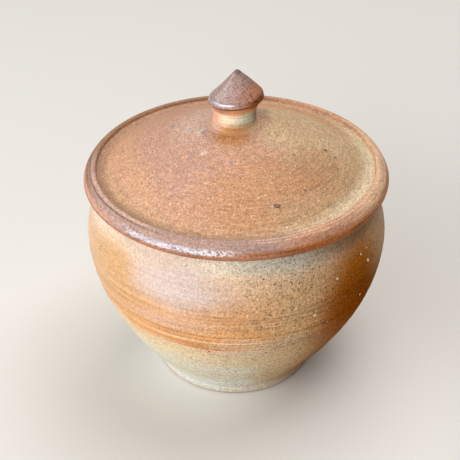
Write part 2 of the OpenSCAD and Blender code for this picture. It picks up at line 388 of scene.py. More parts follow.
# Thrown pot: millimetres, and degrees round from the front with the right as plus
potPiece = dict(
    name="thrownPot", body="pot", node="pot_body", slot="pot_stoneware",
    size=dict(
        bellyDia=104.8, bellyHeight=55.5, mouthHeight=74.4, mouthIn=11.0, wall=4.6, floorThick=5.0,
        lipWidth=4.0, lipRound=0.8, lowerPull=12.0, bellyPull=23.0, shoulderPull=5.0, shoulderLean=34.0,
        footDia=56.6, footTopDia=57.0, footHeight=3.0, footLean=33.0, footRing=6.5, footRecess=2.0,
        footBevel=0.8, bowlJoin=0.375, throatJoin=1.5,
    ),
    throwing={
        "Segments": 192, "Ring depth": 0.16 * mm, "Ring pitch": 3.4 * mm, "Wobble": 0.25 * mm, "Seed": 3.0,
        "Lean to": 34 * mm, "Shift low": -0.6 * mm,
    },
    colours=dict(
        foot=(0.88, 0.92, 0.87), footEdge=(0.60, 0.57, 0.48), ash=(0.80, 0.785, 0.645),
        warmAsh=(0.715, 0.555, 0.35), cream=(0.85, 0.70, 0.465), tan=(0.76, 0.495, 0.315),
        shoulder=(0.82, 0.725, 0.575), orange=(0.71, 0.36, 0.157), deepOrange=(0.60, 0.26, 0.10),
        flame=(0.83, 0.40, 0.15), paleLine=(0.84, 0.555, 0.325), blush=(0.75, 0.455, 0.32),
        pink=(0.71, 0.56, 0.505), rosyCream=(0.64, 0.485, 0.38), sandy=(0.80, 0.61, 0.43),
        honey=(0.80, 0.50, 0.27), straw=(0.66, 0.38, 0.178), greyGreen=(0.60, 0.55, 0.45),
        khaki=(0.62, 0.395, 0.19), rust=(0.34, 0.098, 0.007), copper=(0.47, 0.155, 0.013),
        olive=(0.52, 0.32, 0.16), smoke=(0.44, 0.21, 0.085), rimShade=(0.30, 0.16, 0.06),
        rimGlow=(0.56, 0.29, 0.16), sand=(0.84, 0.68, 0.48), iron=(0.10, 0.055, 0.035),
        lining=(0.58, 0.39, 0.25), bareClay=(0.68, 0.54, 0.40),
    ),
    climb=(  # colours up the wall, as a share of the mouth's height
        (0.0, "foot"), (0.10, "foot"), (0.18, "ash"), (0.30, "ash"), (0.42, "cream"), (0.54, "tan"),
        (0.87, "tan"), (0.96, "shoulder"),
    ),
    ashes=(
        ("oval", "warmAsh", 27, 19, 18, 17, 0.9),
        ("oval", "warmAsh", 6, 3.5, 18, 4, 0.25),
    ),
    flashing=(
        ("oval", "blush", -26, 47.8, 20, 3.4, 0.9),
        ("stripe", "orange", 50.2, 1.5, -30, 32, 54, 0.5),  # lines left by the throwing
        ("stripe", "deepOrange", 44.2, 1.9, 4, 18, 42, 0.455),
        ("stripe", "deepOrange", 37.6, 1.4, 4, 18, 42, 0.65),
        ("oval", "flame", -3, 44.2, 17, 3.8, 0.5),
        ("stripe", "paleLine", 41.0, 1.1, -12, 44, 66, 0.8),
        ("stripe", "paleLine", 45.2, 1.3, -38, 26, 46, 0.65),
        ("stripe", "paleLine", 49.6, 2.8, 0, 22, 44, 0.35),
        ("oval", "cream", -57, 36.5, 9, 3.6, 0.7),
        ("oval", "straw", -54, 57, 20, 10, 1.0),
        # pink flash on the shoulder, partly a painted sheen of the window
        ("oval", "pink", -20, 63.0, 19.5, 9.0, 1.0),
        ("oval", "shoulder", 4, 72.5, 22, 5.5, 1.0),
        ("oval", "rosyCream", -34, 73.0, 28, 5.0, 1.0),
        ("oval", "khaki", 24, 51, 17, 19.5, 0.6, 0.85),
        ("oval", "orange", 4, 54, 14, 6, 0.7, 0.5),
        ("oval", "sandy", 11, 66.5, 18, 4.5, 0.4),
        ("oval", "sandy", 2, 38.5, 11, 4.0, 0.4),
        ("oval", "honey", 2, 64.5, 15, 4.5, 0.4),
        ("oval", "honey", 15, 53.5, 11, 4.5, 0.3),
        ("oval", "warmAsh", 7, 29.5, 16, 4.5, 0.5),
        ("oval", "greyGreen", 20, 38.5, 11, 4.0, 0.3),
        ("oval", "greyGreen", 4, 33.5, 13, 2.6, 0.25),
        # grey-green just under the lid's edge: painted shadow of the lid
        ("oval", "greyGreen", 20, 72, 20, 4.5, 1.0),
        # on the right: smoke, copper and rust flashing, partly painted shade of the side away from the lamps
        ("oval", "smoke", 87, 48, 25, 26, 0.55, 0.8),
        ("oval", "smoke", 49, 36.5, 18, 8.5, 0.6, 0.75),
        ("oval", "copper", 51.5, 55, 16, 13.5, 0.55, 1.0),
        ("oval", "rust", 53, 45.5, 20, 12.5, 0.55, 1.0),
        ("oval", "olive", 86, 58, 24, 18, 0.4, 1.0),
    ),
    mouth=(  # painted shadow under the lid's edge, on the right and on the left
        ("oval", "rimShade", 50, 72.6, 20, 4.8, 0.75),
        ("arc", "rimGlow", -74, 16, 32, 71.6, 73.0, 0.8),
    ),
    finish=dict(
        grain=1.1, fine=0.5, streak=1.0, line=0.6,  # sizes of the noises
        level=((16.0, 5.0), (2.4, 2.0)), flat=((20.0, 2.5),),  # uneven edges of the colours
        sand=(1.1, 0.5, 0.5), sandShare=0.5, iron=(1.1, 0.42), ironShare=0.9,  # specks: cell, size, how many
        grainShade=0.8, fineShade=1.6, streakShade=0.35, lineShade=1.1,
        grainBump=0.18, fineBump=0.1, streakBump=0.1, lineBump=0.07,
        rough=0.5, grainRough=0.25, footRough=0.16, bareRough=0.25, sheen=0.0,
    ),
    grains=dict(  # degrees round, height and width
        white=((29.6, 48.8, 1.2), (21.6, 54.3, 0.8), (57.6, 58.7, 1.15), (57.8, 63.3, 0.6), (39.2, 60.0, 0.9),
               (54.4, 46.0, 0.9), (-8.0, 41.0, 0.5), (53.4, 62.9, 0.8)),
        dark=((-62.2, 62.0, 0.8), (-11.0, 35.3, 0.8), (11.6, 34.5, 0.7), (-19.0, 69.6, 0.45),
              (9.8, 66.5, 0.6), (13.8, 64.4, 0.7), (23.2, 63.4, 0.6), (33.8, 53.8, 0.6)),
        moreWhite=30, moreDark=30, whiteWidths=(0.35, 0.6), darkWidths=(0.25, 0.42),
        lowest=8.0, highest=70.0, seed=4, fromAbove=False,
    ),
)


def potSection(s):
    bellyR, mouthR, footR = s["bellyDia"] / 2, (s["bellyDia"] - s["mouthIn"]) / 2, s["footDia"] / 2
    recessR = footR - s["footBevel"] - s["footRing"]
    floorZ = s["footRecess"] + s["floorThick"]
    lean = s["shoulderLean"]
    foot = Vector((s["footTopDia"] / 2, s["footHeight"]))
    belly = Vector((bellyR, s["bellyHeight"]))
    lipMiddle = Vector((mouthR - s["lipRound"], s["mouthHeight"] - s["lipRound"]))
    lip = lipMiddle + polar(lean, s["lipRound"])
    lower = (foot, foot + polar(90 - s["footLean"], s["lowerPull"]),
             belly - Vector((0, s["bellyPull"])), belly)
    upper = (belly, belly + Vector((0, s["shoulderPull"])), lip - polar(90 + lean, s["shoulderPull"]), lip)

    def outside(t):
        return cubic(*lower, t) if t < 1 else cubic(*upper, t - 1)

    def heading(t):
        return cubicHeading(*lower, t) if t < 1 else cubicHeading(*upper, t - 1)

    def inside(t):
        h = heading(t)
        return outside(t) + s["wall"] * Vector((-h.y, h.x))

    throat = Vector((mouthR - s["lipWidth"], s["mouthHeight"] - s["lipRound"]))
    throatLow, bowlTop = inside(s["throatJoin"]), inside(s["bowlJoin"])
    throatPull = (throatLow - throat).length / 3
    bowlPull = bowlTop.y - floorZ
    count = 40
    innerSteps = [s["throatJoin"] - (s["throatJoin"] - s["bowlJoin"]) * i / count for i in range(1, count)]
    footRun = [Vector(point) for point in (
        (0, s["footRecess"]), (recessR - s["footBevel"], s["footRecess"]), (recessR, 0),
        (footR - s["footBevel"], 0), (footR, s["footBevel"]))]
    lipRun = arcRun(lipMiddle, s["lipRound"], lean, 90)
    lipRun += arcRun(throat + Vector((s["lipRound"], 0)), s["lipRound"], 90, 180)
    throatRun = cubicRun(throat, throat - Vector((0, throatPull)),
                         throatLow + throatPull * heading(s["throatJoin"]), throatLow)
    bowlRun = cubicRun(bowlTop, bowlTop - bowlPull * heading(s["bowlJoin"]),
                       Vector((bowlTop.x / 2, floorZ)), Vector((0, floorZ)), 32)
    return joinSection([
        (footRun, 1.2, 0.0, 0.0, 1.0),
        ([outside(i / count) for i in range(2 * count + 1)], 0.5, 1.0, 0.0, 0.0),
        (lipRun, 0.5, 0.0, 0.0, 1.0),
        (throatRun, 0.7, 0.6, 1.0, 0.0),
        ([inside(t) for t in innerSteps], 0.8, 2.2, 1.0, 0.0),
        (bowlRun, 0.8, 2.2, 1.0, 0.0),
    ])


def potSkin(p):
    s, f = p["colours"], p["finish"]
    k = Skin("flashedStoneware", 1.0)
    grain, fine = k.noise(f["grain"], 2.0), k.noise(f["fine"], 1.0)
    streaks = k.noise(f["streak"], 3.0, (0.02, 0.02, 1.1))
    level = k.wander(k.z, *f["level"])
    flat = k.wander(k.z, *f["flat"])
    k.ramp(level / p["size"]["mouthHeight"], [(place, s[colour]) for place, colour in p["climb"]])
    k.lay(s["footEdge"], k.ease(k.z, 3.6, 1.6) * 0.8)  # darker towards the bottom of the foot
    k.flash(s, level, p["ashes"])
    k.lay(s["smoke"], k.arc(level, 84, 36, 65, 40, 33) * (k.ease(level, 2, 8) * 0.5 + 0.5))  # lower right: smoke, partly painted shade
    band = k.side(-38, 32, 66) * 0.72 + 0.28  # all round, most on the left
    k.lay(s["orange"], band * k.ease(level, 34.4, 39.0) * k.ease(level, 60, 49))
    flashed = k.flash(s, level, p["flashing"], flat)
    rosyAndSheen, khaki, blush = flashed["pink"], flashed["khaki"], flashed["blush"]
    k.flash(s, k.z, p["mouth"])
    k.bare(s)
    calm = k.side(-66, 34, 58)  # smoother skin on the left
    dim = 1.0 - k.side(60, 22, 44) * 0.85 - calm * 0.5  # pale grains fade on the dark right side
    k.lay(s["sand"], k.specks(*f["sand"]) * f["sandShare"] * dim)
    banded = k.ease(k.z, 34, 38) * k.ease(k.z, 60, 52)
    lines = k.noise(f["line"], 1.0, (0.02, 0.02, 1.0)) * banded
    mottle = grain * (f["grainShade"] - rosyAndSheen * 0.3) + fine * (f["fineShade"] + khaki * 0.4 - rosyAndSheen * 0.4)
    combed = streaks * (f["streakShade"] + banded * 0.3) + lines * f["lineShade"]
    k.shade(1.0 + mottle * (1.0 - calm * 0.4) + combed * (1.0 - blush * 0.5))
    k.lay(s["iron"], k.specks(*f["iron"], khaki * 0.85 + 0.05) * (f["ironShare"] - rosyAndSheen * 0.7))
    rough = f["rough"] + grain * f["grainRough"]
    rough = rough + k.ease(k.z, 34, 8) * f["footRough"] + k.mark("bare") * f["bareRough"]
    gloss = k.side(-26, 36, 66) * k.ease(k.z, 36, 56) * 0.5 + k.side(-96, 30, 62) * 0.35
    gloss = gloss + k.side(90, 16, 34) * k.ease(k.z, 48, 60) * 0.3
    coat = gloss * (1.0 + fine * 2.0).calc("MAXIMUM", 0.0)
    height = grain * f["grainBump"] + fine * f["fineBump"] + streaks * f["streakBump"] + lines * f["lineBump"]
    return k.fire(rough, coat, height, f["sheen"])


# Loose lid: colours go by the distance from the axis
lidPiece = dict(
    name="domedLid", body="cover", node="lid", slot="lid_stoneware",
    size=dict(
        lidDia=105.0, mouthHeight=74.4, flangeR=41.9, beadR=1.9, rimWidth=4.4, rimHeight=6.5, rimRound=0.6,
        beadUp=2.2, rollAngle=25.0, gullyDepth=1.4, gullyWidth=3.0, domeHeight=16.7, domeBow=7.0,
        domeThick=4.4, flangeDepth=6.0, flangeThick=3.6, seatR=8.0, domeJoin=0.125,
    ),
    throwing={
        "Segments": 200, "Ring depth": 0.12 * mm, "Ring pitch": 4.2 * mm, "Wobble": 0.2 * mm, "Seed": 11.0,
    },
    colours=dict(
        toast=(0.62, 0.335, 0.218), rose=(0.54, 0.30, 0.215), ember=(0.575, 0.29, 0.147),
        cinder=(0.47, 0.22, 0.085), straw=(0.60, 0.33, 0.20), oliveTan=(0.55, 0.37, 0.195),
        mauve=(0.59, 0.38, 0.29), khaki=(0.715, 0.485, 0.287), amber=(0.68, 0.28, 0.12),
        root=(0.56, 0.25, 0.105), stain=(0.40, 0.26, 0.17), smudge=(0.31, 0.24, 0.235),
        bloom=(0.66, 0.54, 0.47), paleGully=(0.72, 0.56, 0.37), tanGully=(0.66, 0.44, 0.27),
        gully=(0.48, 0.28, 0.17), rim=(0.44, 0.275, 0.225), rimLeft=(0.58, 0.37, 0.29),
        rimRed=(0.57, 0.28, 0.168), rimLine=(0.74, 0.44, 0.31), rimTan=(0.80, 0.51, 0.31),
        rimBack=(0.37, 0.20, 0.115), rimFar=(0.71, 0.405, 0.245), rimDeep=(0.28, 0.13, 0.065),
        rimOut=(0.46, 0.20, 0.09), edge=(0.24, 0.13, 0.09), bead=(0.43, 0.19, 0.11),
        beadRedShade=(0.43, 0.13, 0.025), beadLeft=(0.62, 0.30, 0.20), highlightBase=(0.28, 0.19, 0.22),
        sand=(0.80, 0.60, 0.42), iron=(0.12, 0.07, 0.05), lining=(0.56, 0.36, 0.23),
        bareClay=(0.68, 0.54, 0.40),
    ),
    dome=(
        ("oval", "rose", -62, 27, 50, 15, 1.0),
        ("oval", "rose", -122, 31, 36, 14, 0.55),
        ("oval", "straw", -78, 40, 44, 7, 1.0),
        ("oval", "amber", 160, 34, 34, 20, 1.0),
        ("oval", "mauve", -112, 12, 58, 10, 1.0),
        ("oval", "ember", 22, 34, 40, 16, 1.0),
        ("fan", "khaki", 107, 25.0, 74, 26, 6, 14, 1.0),
        ("oval", "amber", 134, 42.5, 24, 5.5, 0.3),
        ("oval", "cinder", 62, 32, 18, 9, 0.4),
        ("oval", "root", -8, 9, 34, 4, 1.0),
    ),
    gully=(
        ("arc", "oliveTan", -16, 52, 80, 39.5, 44.5, 0.3),
        ("arc", "oliveTan", 56, 24, 52, 33.0, 40.0, 0.5),
        # a darker ring down in the gully: painted shade in the hollow
        ("ring", "gully", 43.6, 45.8, 0.7),
        ("arc", "tanGully", 74, 46, 66, 42.8, 45.0, 48.2, 46.8, 1.0),
        ("arc", "tanGully", 142, 30, 60, 42.8, 45.0, 48.2, 46.8, 0.6),
        ("arc", "paleGully", 80, 28, 50, 40.0, 45.4, 48.2, 46.8, 1.0),
    ),
    stainsAndKnobShadow=(  # painted shadow of the knob, together with a stain, on the right behind it
        ("oval", "stain", 124, 10.0, 24, 3.6, 0.8),
        ("oval", "stain", 146, 14.0, 14, 4.0, 0.8),
    ),
    spots=(  # cool soft spots: colour, share, then degrees round, distance out and half width
        ("bloom", 0.6, ((-88, 15.5, 1.3), (-36, 18.3, 1.1), (-70, 12.4, 1.7))),
        ("smudge", 0.85, ((-65, 11.9, 0.8), (-88, 15.5, 0.5), (-106, 22.7, 0.8), (-26, 24.2, 0.5),
                          (-5, 20.1, 0.7), (-43, 21.9, 0.6))),
    ),
    rim=(
        ("ring", "rim", 47.5, 48.0, 1.0),
        ("arc", "rimLeft", -58, 14, 40, 47.5, 48.0, 50.2, 49.4, 1.0),
        ("arc", "rimFar", 140, 22, 46, 47.5, 48.0, 1.0),
        ("arc", "rimBack", -146, 38, 60, 47.5, 48.0, 1.0),
        ("arc", "rimRed", 43, 17, 32, 46.2, 47.4, 1.0),
        ("arc", "rimTan", 84, 20, 46, 47.5, 48.0, 52.3, 51.0, 1.0),
    ),
    rimOutside=(
        # on the right the rim's outer side is partly painted shade
        ("arc", "rimOut", 92, 18, 32, 51.0, 51.9, 1.0),
        ("arc", "rimDeep", -108, 24, 48, 50.0, 51.0, 1.0),
    ),
    finish=dict(
        grain=1.1, fine=0.5, streakScale=1.6, combScale=(1.5, 5.0),  # combs: across and along the turning
        level=((14.0, 6.0), (2.2, 2.2)), gully=((9.0, 1.2),), lineWaver=((6.0, 3.0),), lineRate=7.2,
        edge=((2.0, 0.4),), groove=((3.0, 0.5),), spotSoft=0.6,
        sand=(1.1, 0.5, 0.5), sandShare=0.5, iron=(1.8, 0.42, 0.22), ironShare=0.7,
        grainShade=0.7, fineShade=1.5, streakShade=0.35, combShade=0.3, turnShade=0.8,
        grainBump=0.18, fineBump=0.1, streakBump=0.06, combBump=0.08, turnBump=0.1, grooveBump=0.2,
        rough=0.5, grainRough=0.25, glossRough=0.16, bareRough=0.25, sheen=0.2, coatIndex=2.6,
    ),
    grains=dict(  # degrees round, distance from the axis and width
        white=((21.5, 43.6, 0.7), (26.0, 43.2, 0.5), (-34.0, 38.0, 0.5)),
        dark=((20.7, 36.5, 1.7), (81.7, 30.4, 1.3), (79.3, 33.9, 0.8), (70.6, 35.8, 0.7), (56.2, 23.0, 0.7),
              (39.8, 34.5, 0.7)),
        moreWhite=26, moreDark=22, whiteWidths=(0.22, 0.4), darkWidths=(0.3, 0.5),
        lowest=13.0, highest=42.0, seed=9, fromAbove=True,
    ),
)


def lidSection(s):
    lidR, seatZ = s["lidDia"] / 2, s["mouthHeight"]
    flangeR, flangeT = s["flangeR"], s["flangeThick"]
    flangeInR, flangeZ, flangeRound = flangeR - flangeT, seatZ - s["flangeDepth"], flangeT / 3
    beadMiddle = Vector((lidR - s["beadR"], seatZ + s["beadUp"]))
    rimInner = Vector((lidR - s["rimWidth"], seatZ + s["rimHeight"]))
    gully = rimInner - Vector((s["gullyWidth"] / 2, s["gullyDepth"]))
    domeEdge = gully - Vector((s["gullyWidth"] / 2, 0))
    crown = Vector((s["seatR"], gully.y + s["domeHeight"]))
    mean = math.degrees(math.atan2(crown.y - domeEdge.y, domeEdge.x - crown.x))
    pull = (crown - domeEdge).length / 3
    dome = (domeEdge, domeEdge + polar(180 - mean - s["domeBow"], pull),
            crown - polar(180 - mean + s["domeBow"], pull), crown)

    def under(t):
        h = cubicHeading(*dome, t)
        return cubic(*dome, t) - s["domeThick"] * Vector((h.y, -h.x))

    count = 48
    underRun = [p for p in (under(1 - i / count) for i in range(count + 1)) if p.x < flangeInR - flangeT]
    underEnd = underRun[-1]
    flangeIn = Vector((flangeInR, (underEnd.y + flangeZ + flangeRound) / 2))
    corner = cubicRun(underEnd, underEnd + polar(-mean, flangeT / 2),
                      (flangeIn + Vector((flangeInR, underEnd.y))) / 2, flangeIn)
    bead = arcRun(beadMiddle, s["beadR"], -90, s["rollAngle"], 32)
    flange = arcRun(Vector((flangeInR + flangeRound, flangeZ + flangeRound)), flangeRound, 180, 270)
    flange += arcRun(Vector((flangeR - flangeRound, flangeZ + flangeRound)), flangeRound, 270, 360)
    rimTop = rimInner + Vector((s["rimRound"], 0))
    bandPull = (rimTop - bead[-1]).length / 3
    band = cubicRun(bead[-1], bead[-1] + polar(90 + s["rollAngle"], bandPull),
                    rimTop + Vector((bandPull, 0)), rimTop)
    rimEdge = arcRun(rimTop - Vector((0, s["rimRound"])), s["rimRound"], 90, 180)
    gullyRun = cubicRun(rimEdge[-1], Vector((rimInner.x, gully.y)),
                        gully + Vector((s["gullyWidth"] / 4, 0)), gully)
    join = s["domeJoin"]
    domeFoot = cubic(*dome, join)
    reach = (domeFoot - gully).length / 3
    rise = cubicRun(gully, gully - Vector((reach, 0)), domeFoot - reach * cubicHeading(*dome, join), domeFoot)
    domeRun = [cubic(*dome, join + (1 - join) * i / count) for i in range(1, count + 1)]
    return joinSection([
        ([Vector((0, under(1).y))] + underRun + corner, 0.9, 2.0, 1.0, 0.0),
        (flange + [Vector((flangeR, seatZ)), bead[0]], 0.8, 0.0, 0.0, 1.0),
        (bead + band + rimEdge + gullyRun, 0.3, 0.0, 0.0, 0.0),
        (rise + domeRun, 0.5, 1.0, 0.0, 0.0),
        ([Vector((0, crown.y))], 1.5, 0.0, 0.0, 0.0),
    ])


def lidSkin(p):
    s, f = p["colours"], p["finish"]
    k = Skin("toastedStoneware", 50.0)
    grain, fine = k.noise(f["grain"], 2.0), k.noise(f["fine"], 1.0)
    turned = k.add("ShaderNodeCombineXYZ", inputs=[k.r, 0.0, 0.0])
    streaks = k.noiseAt(turned, f["streakScale"])
    across, along = f["combScale"]
    combed = k.add("ShaderNodeCombineXYZ", inputs=[k.r * across, k.x / k.r * along, k.y / k.r * along])
    combs = k.noiseAt(combed, 1.0)  # short arcs
    level = k.wander(k.r, *f["level"])
    k.start(s["toast"])
    k.flash(s, level, p["dome"])
    pale = k.flash(s, k.wander(k.r, *f["gully"]), p["gully"])["paleGully"]
    k.flash(s, k.r, p["stainsAndKnobShadow"])
    for colour, share, spots in p["spots"]:
        for angle, place, wide in spots:
            spot = k.oval(k.r, angle, place, math.degrees(wide / place), wide, f["spotSoft"])
            k.lay(s[colour], spot * share)
    rim = k.flash(s, k.r, p["rim"])["rim"]
    waves = k.wander(k.r * f["lineRate"], *f["lineWaver"]).calc("SINE") * 0.5 + 0.5  # turning lines
    k.lay(s["rimLine"], waves * k.arc(k.r, 56, 40, 60, 47.8, 48.6, 51.0, 50.3) * 0.65)
    edge = k.wander(k.z, *f["edge"])
    k.lay(s["beadRedShade"], rim * k.arc(edge, 26, 22, 50, 78.9, 77.1))  # red under the bead on the right, partly painted shade on the rim's outer side
    k.flash(s, k.r, p["rimOutside"])
    # dark colour in the groove on the left and along the rim's inner edge: painted shade in these creases
    groove = k.stripe(k.wander(k.r, *f["groove"]), 50.0, 0.4, -66, 24, 44) * k.ease(k.z, 78.0, 78.6)
    k.lay(s["edge"], groove * 0.8)
    k.lay(s["edge"], k.stripe(k.r, 47.9, 0.4, -30, 50, 90) * 0.75)
    bright = k.ease(k.z, 79.4, 78.0) * k.ease(k.z, 76.7, 77.1) * rim
    gloss = bright * k.side(-28, 28, 50)
    # dark bluish base painted where the bead's highlight falls, to tint the highlight blue-white
    k.lay(s["highlightBase"], bright * k.side(-24, 12, 26) * 0.9)
    k.lay(s["beadLeft"], rim * k.arc(edge, -74, 18, 34, 79.2, 77.8))
    # red strip under the bead, partly painted shade on its underside
    k.lay(s["bead"], rim * k.arc(edge, -50, 60, 80, 77.4, 76.9))
    k.bare(s)
    k.lay(s["sand"], k.specks(*f["sand"]) * f["sandShare"] * (1.0 - rim * 0.6))
    turning = streaks * rim * k.side(40, 30, 60)
    mottle = grain * f["grainShade"] + fine * f["fineShade"] + streaks * f["streakShade"]
    k.shade(1.0 + mottle + combs * (f["combShade"] + k.side(50, 50, 100) * 0.5) + turning * f["turnShade"])
    k.lay(s["iron"], k.specks(*f["iron"]) * f["ironShare"] * (1.0 - rim - pale * 0.8))
    rough = f["rough"] + grain * f["grainRough"] - gloss * f["glossRough"] + k.mark("bare") * f["bareRough"]
    coat = gloss * (0.70 + fine * 4.8 + grain * 1.6).calc("MAXIMUM", 0.04).calc("MINIMUM", 1.0)
    height = grain * f["grainBump"] + fine * f["fineBump"] + streaks * f["streakBump"] + combs * f["combBump"]
    height = height + turning * f["turnBump"] - groove * f["grooveBump"]
    return k.fire(rough, coat, height, f["sheen"], f["coatIndex"])


# Pointed knob: heights are above the table
knobPiece = dict(
    name="pointedKnob", body="cover", node="knob", slot="knob_stoneware",
    size=dict(
        seatZ=96.2, knobHeight=19.2, skirtDia=18.9, skirtHeight=9.75, skirtRound=1.2, skirtUnder=40.0,
        skirtFlare=0.3, neckDia=14.6, neckHeight=4.4, neckPull=0.7, rootDia=18.8, rootDrop=0.4, rootRise=0.3,
        flareLow=1.7, flareHigh=(1.1, 0.8), tipRound=1.4, bedding=0.5, edgeRound=0.2, edgeDrop=0.8,
    ),
    throwing={
        "Segments": 128, "Ring depth": 0.1 * mm, "Ring pitch": 1.1 * mm, "Wobble": 0.2 * mm, "Seed": 5.0,
        "Lean from": 96 * mm, "Lean to": 112 * mm, "Shift low": -0.5 * mm, "Shift high": 0.35 * mm,
        "Skew": 0.135, "Nod": 0.05,
    },
    colours=dict(
        cream=(0.90, 0.735, 0.535), peach=(0.72, 0.42, 0.265), greyGreen=(0.71, 0.69, 0.51),
        shade=(0.40, 0.35, 0.22), root=(0.58, 0.27, 0.11), rootLeft=(0.62, 0.38, 0.28),
        rootRight=(0.70, 0.48, 0.28), orange=(0.70, 0.33, 0.15), underLeft=(0.45, 0.22, 0.15),
        underRight=(0.42, 0.15, 0.035), underside=(0.20, 0.055, 0.008), shadowLine=(0.15, 0.065, 0.035),
        mauve=(0.40, 0.265, 0.24), redBrown=(0.48, 0.21, 0.125), ashTip=(0.36, 0.235, 0.20),
        tip=(0.16, 0.11, 0.10), highlightBase=(0.30, 0.21, 0.22), sand=(0.74, 0.58, 0.46), iron=(0.12, 0.06, 0.04),
    ),
    neck=(
        ("arc", "peach", -82, 20, 56, 1.0),
        ("arc", "greyGreen", 62, 30, 76, 1.0),
        ("arc", "shade", 96, 26, 56, 1.0),
        ("ring", "root", 99.0, 97.2, 1.0),
        ("arc", "rootLeft", -90, 36, 66, 99.0, 97.2, 1.0),
        ("arc", "rootRight", 95, 40, 90, 99.0, 97.2, 1.0),
    ),
    underSkirt=(
        ("ring", "orange", 101.5, 103.2, 1.0),
        ("arc", "underLeft", -80, 44, 72, 101.8, 103.4, 1.0),
        # under the skirt on the right: darker red, partly painted shade
        ("arc", "underRight", 86, 36, 66, 102.6, 104.0, 1.0),
    ),
    finish=dict(
        grain=1.0, fine=0.45, line=0.55, level=((4.0, 1.4), (1.0, 0.7)), askew=0.05, tilt=(0.087, 0.032),
        coneEdge=((1.5, 0.3),), mauveEdge=((2.5, 70.0),), underEdge=((1.5, 1.0),),
        sand=(1.1, 0.45, 0.4), iron=(1.4, 0.4, 0.3), ironShare=0.75,
        lineShade=1.3, grainShade=0.7, fineShade=1.9, grainBump=0.16, fineBump=0.11, lineBump=0.35,
        rough=0.5, coneRough=0.1, grainRough=0.2, sheen=0.05, coatIndex=2.4, coatRough=0.3,
    ),
)


def knobSection(s):
    seatZ, rootR, neckR, neckH = s["seatZ"], s["rootDia"] / 2, s["neckDia"] / 2, s["neckHeight"]
    root, waist = Vector((rootR, seatZ - s["rootDrop"])), Vector((neckR, seatZ + neckH))
    rootPull = Vector(((rootR - neckR) * s["neckPull"], -s["rootRise"]))
    footRun = cubicRun(root, root - rootPull, waist - Vector((0, neckH * s["neckPull"])), waist)
    skirtMiddle = Vector((s["skirtDia"] / 2 - s["skirtRound"] - s["skirtFlare"], seatZ + s["skirtHeight"]))
    edgeMiddle = Vector((s["skirtDia"] / 2 - s["edgeRound"], skirtMiddle.y - s["edgeDrop"]))
    coneHeight = s["knobHeight"] - s["skirtHeight"] - s["tipRound"]
    coneAngle = math.degrees(math.atan2(skirtMiddle.x - s["tipRound"], coneHeight))
    skirt = arcRun(edgeMiddle, s["edgeRound"], -90 + s["skirtUnder"] / 2, 0)
    skirt += arcRun(skirtMiddle, s["skirtRound"], 0, 90 - coneAngle)
    flare = cubicRun(waist, waist + Vector((0, s["flareLow"])), skirt[0] - Vector(s["flareHigh"]), skirt[0])
    tip = arcRun(Vector((0, seatZ + s["knobHeight"] - s["tipRound"])), s["tipRound"], 90 - coneAngle, 90)
    bed = root.y - s["bedding"]
    return joinSection([
        ([Vector((0, bed)), Vector((rootR, bed)), root], 0.6, 0.0, 0.0, 0.0),
        (footRun + flare, 0.22, 1.0, 0.0, 0.0),
        (skirt, 0.22, 0.0, 0.0, 0.0),
        (tip, 0.22, 0.6, 0.0, 0.0),
    ])


def knobSkin(p):
    s, f = p["colours"], p["finish"]
    k = Skin("glossyStoneware", 90.0)
    grain, fine = k.noise(f["grain"], 2.0), k.noise(f["fine"], 1.0)
    lines = k.noise(f["line"], 2.0, (0.04, 0.04, 1.0))
    level = k.wander(k.z, *f["level"])
    tilted = k.z - k.x * f["tilt"][0] + k.y * f["tilt"][1]  # follows the leaning skirt
    k.start(s["cream"])
    k.flash(s, level, p["neck"])
    k.flash(s, level - k.x * f["askew"], p["underSkirt"])
    k.shade(1.0 + lines * f["lineShade"])
    k.lay(s["shadowLine"], k.line(tilted, 104.95, 0.75) * (0.95 - k.side(84, 30, 66) * 0.6))
    # painted shade along the right of the skirt's edge
    k.lay(s["underside"], k.stripe(tilted, 105.7, 1.4, 92, 44, 76) * 0.85)
    cone = k.ease(k.wander(tilted, *f["coneEdge"]) - k.side(60, 20, 70) * 0.25, 105.1, 105.5)
    k.lay(s["redBrown"], cone)
    # bluish mauve on the left of the cone, partly a painted sheen
    k.lay(s["mauve"], cone * k.ease(k.wander(k.away(-60), *f["mauveEdge"]), 112, 36))
    k.lay(s["ashTip"], k.ease(level, 109.5, 112.5))
    # painted shade on the cone's lower right edge
    k.lay(s["underside"], cone * k.arc(k.wander(tilted, *f["underEdge"]), 84, 36, 72, 107.9, 106.2))
    k.lay(s["tip"], k.ease(level, 113.8, 114.8) * 0.75)
    k.lay(s["sand"], k.specks(*f["sand"]) * (0.55 - k.side(84, 36, 72) * 0.4))
    k.shade(1.0 + (grain * f["grainShade"] + fine * f["fineShade"]) * (cone * 0.7 + 0.3))
    k.lay(s["iron"], k.specks(*f["iron"]) * f["ironShare"] * cone)
    rough = f["rough"] - cone * f["coneRough"] + grain * f["grainRough"]
    shine = k.stripe(tilted, 106.35, 1.0, -42, 28, 42)
    # dark base painted under the skirt's highlight, to tint the highlight
    k.lay(s["highlightBase"], shine * 0.6)
    gloss = k.ease(tilted, 105.6, 106.1) * (k.side(-66, 44, 84) * 0.75 + shine * 0.9)
    coat = gloss * (0.85 + fine * 1.8 + grain).calc("MAXIMUM", 0.05).calc("MINIMUM", 1.1)
    height = grain * f["grainBump"] + fine * f["fineBump"] + lines * (1.0 - cone) * f["lineBump"]
    return k.fire(rough, coat, height, f["sheen"], f["coatIndex"], f["coatRough"])


pot = throwPiece(potPiece, potSection(potPiece["size"]), potSkin(potPiece))
lid = throwPiece(lidPiece, lidSection(lidPiece["size"]), lidSkin(lidPiece))
throwPiece(knobPiece, knobSection(knobPiece["size"]), knobSkin(knobPiece))

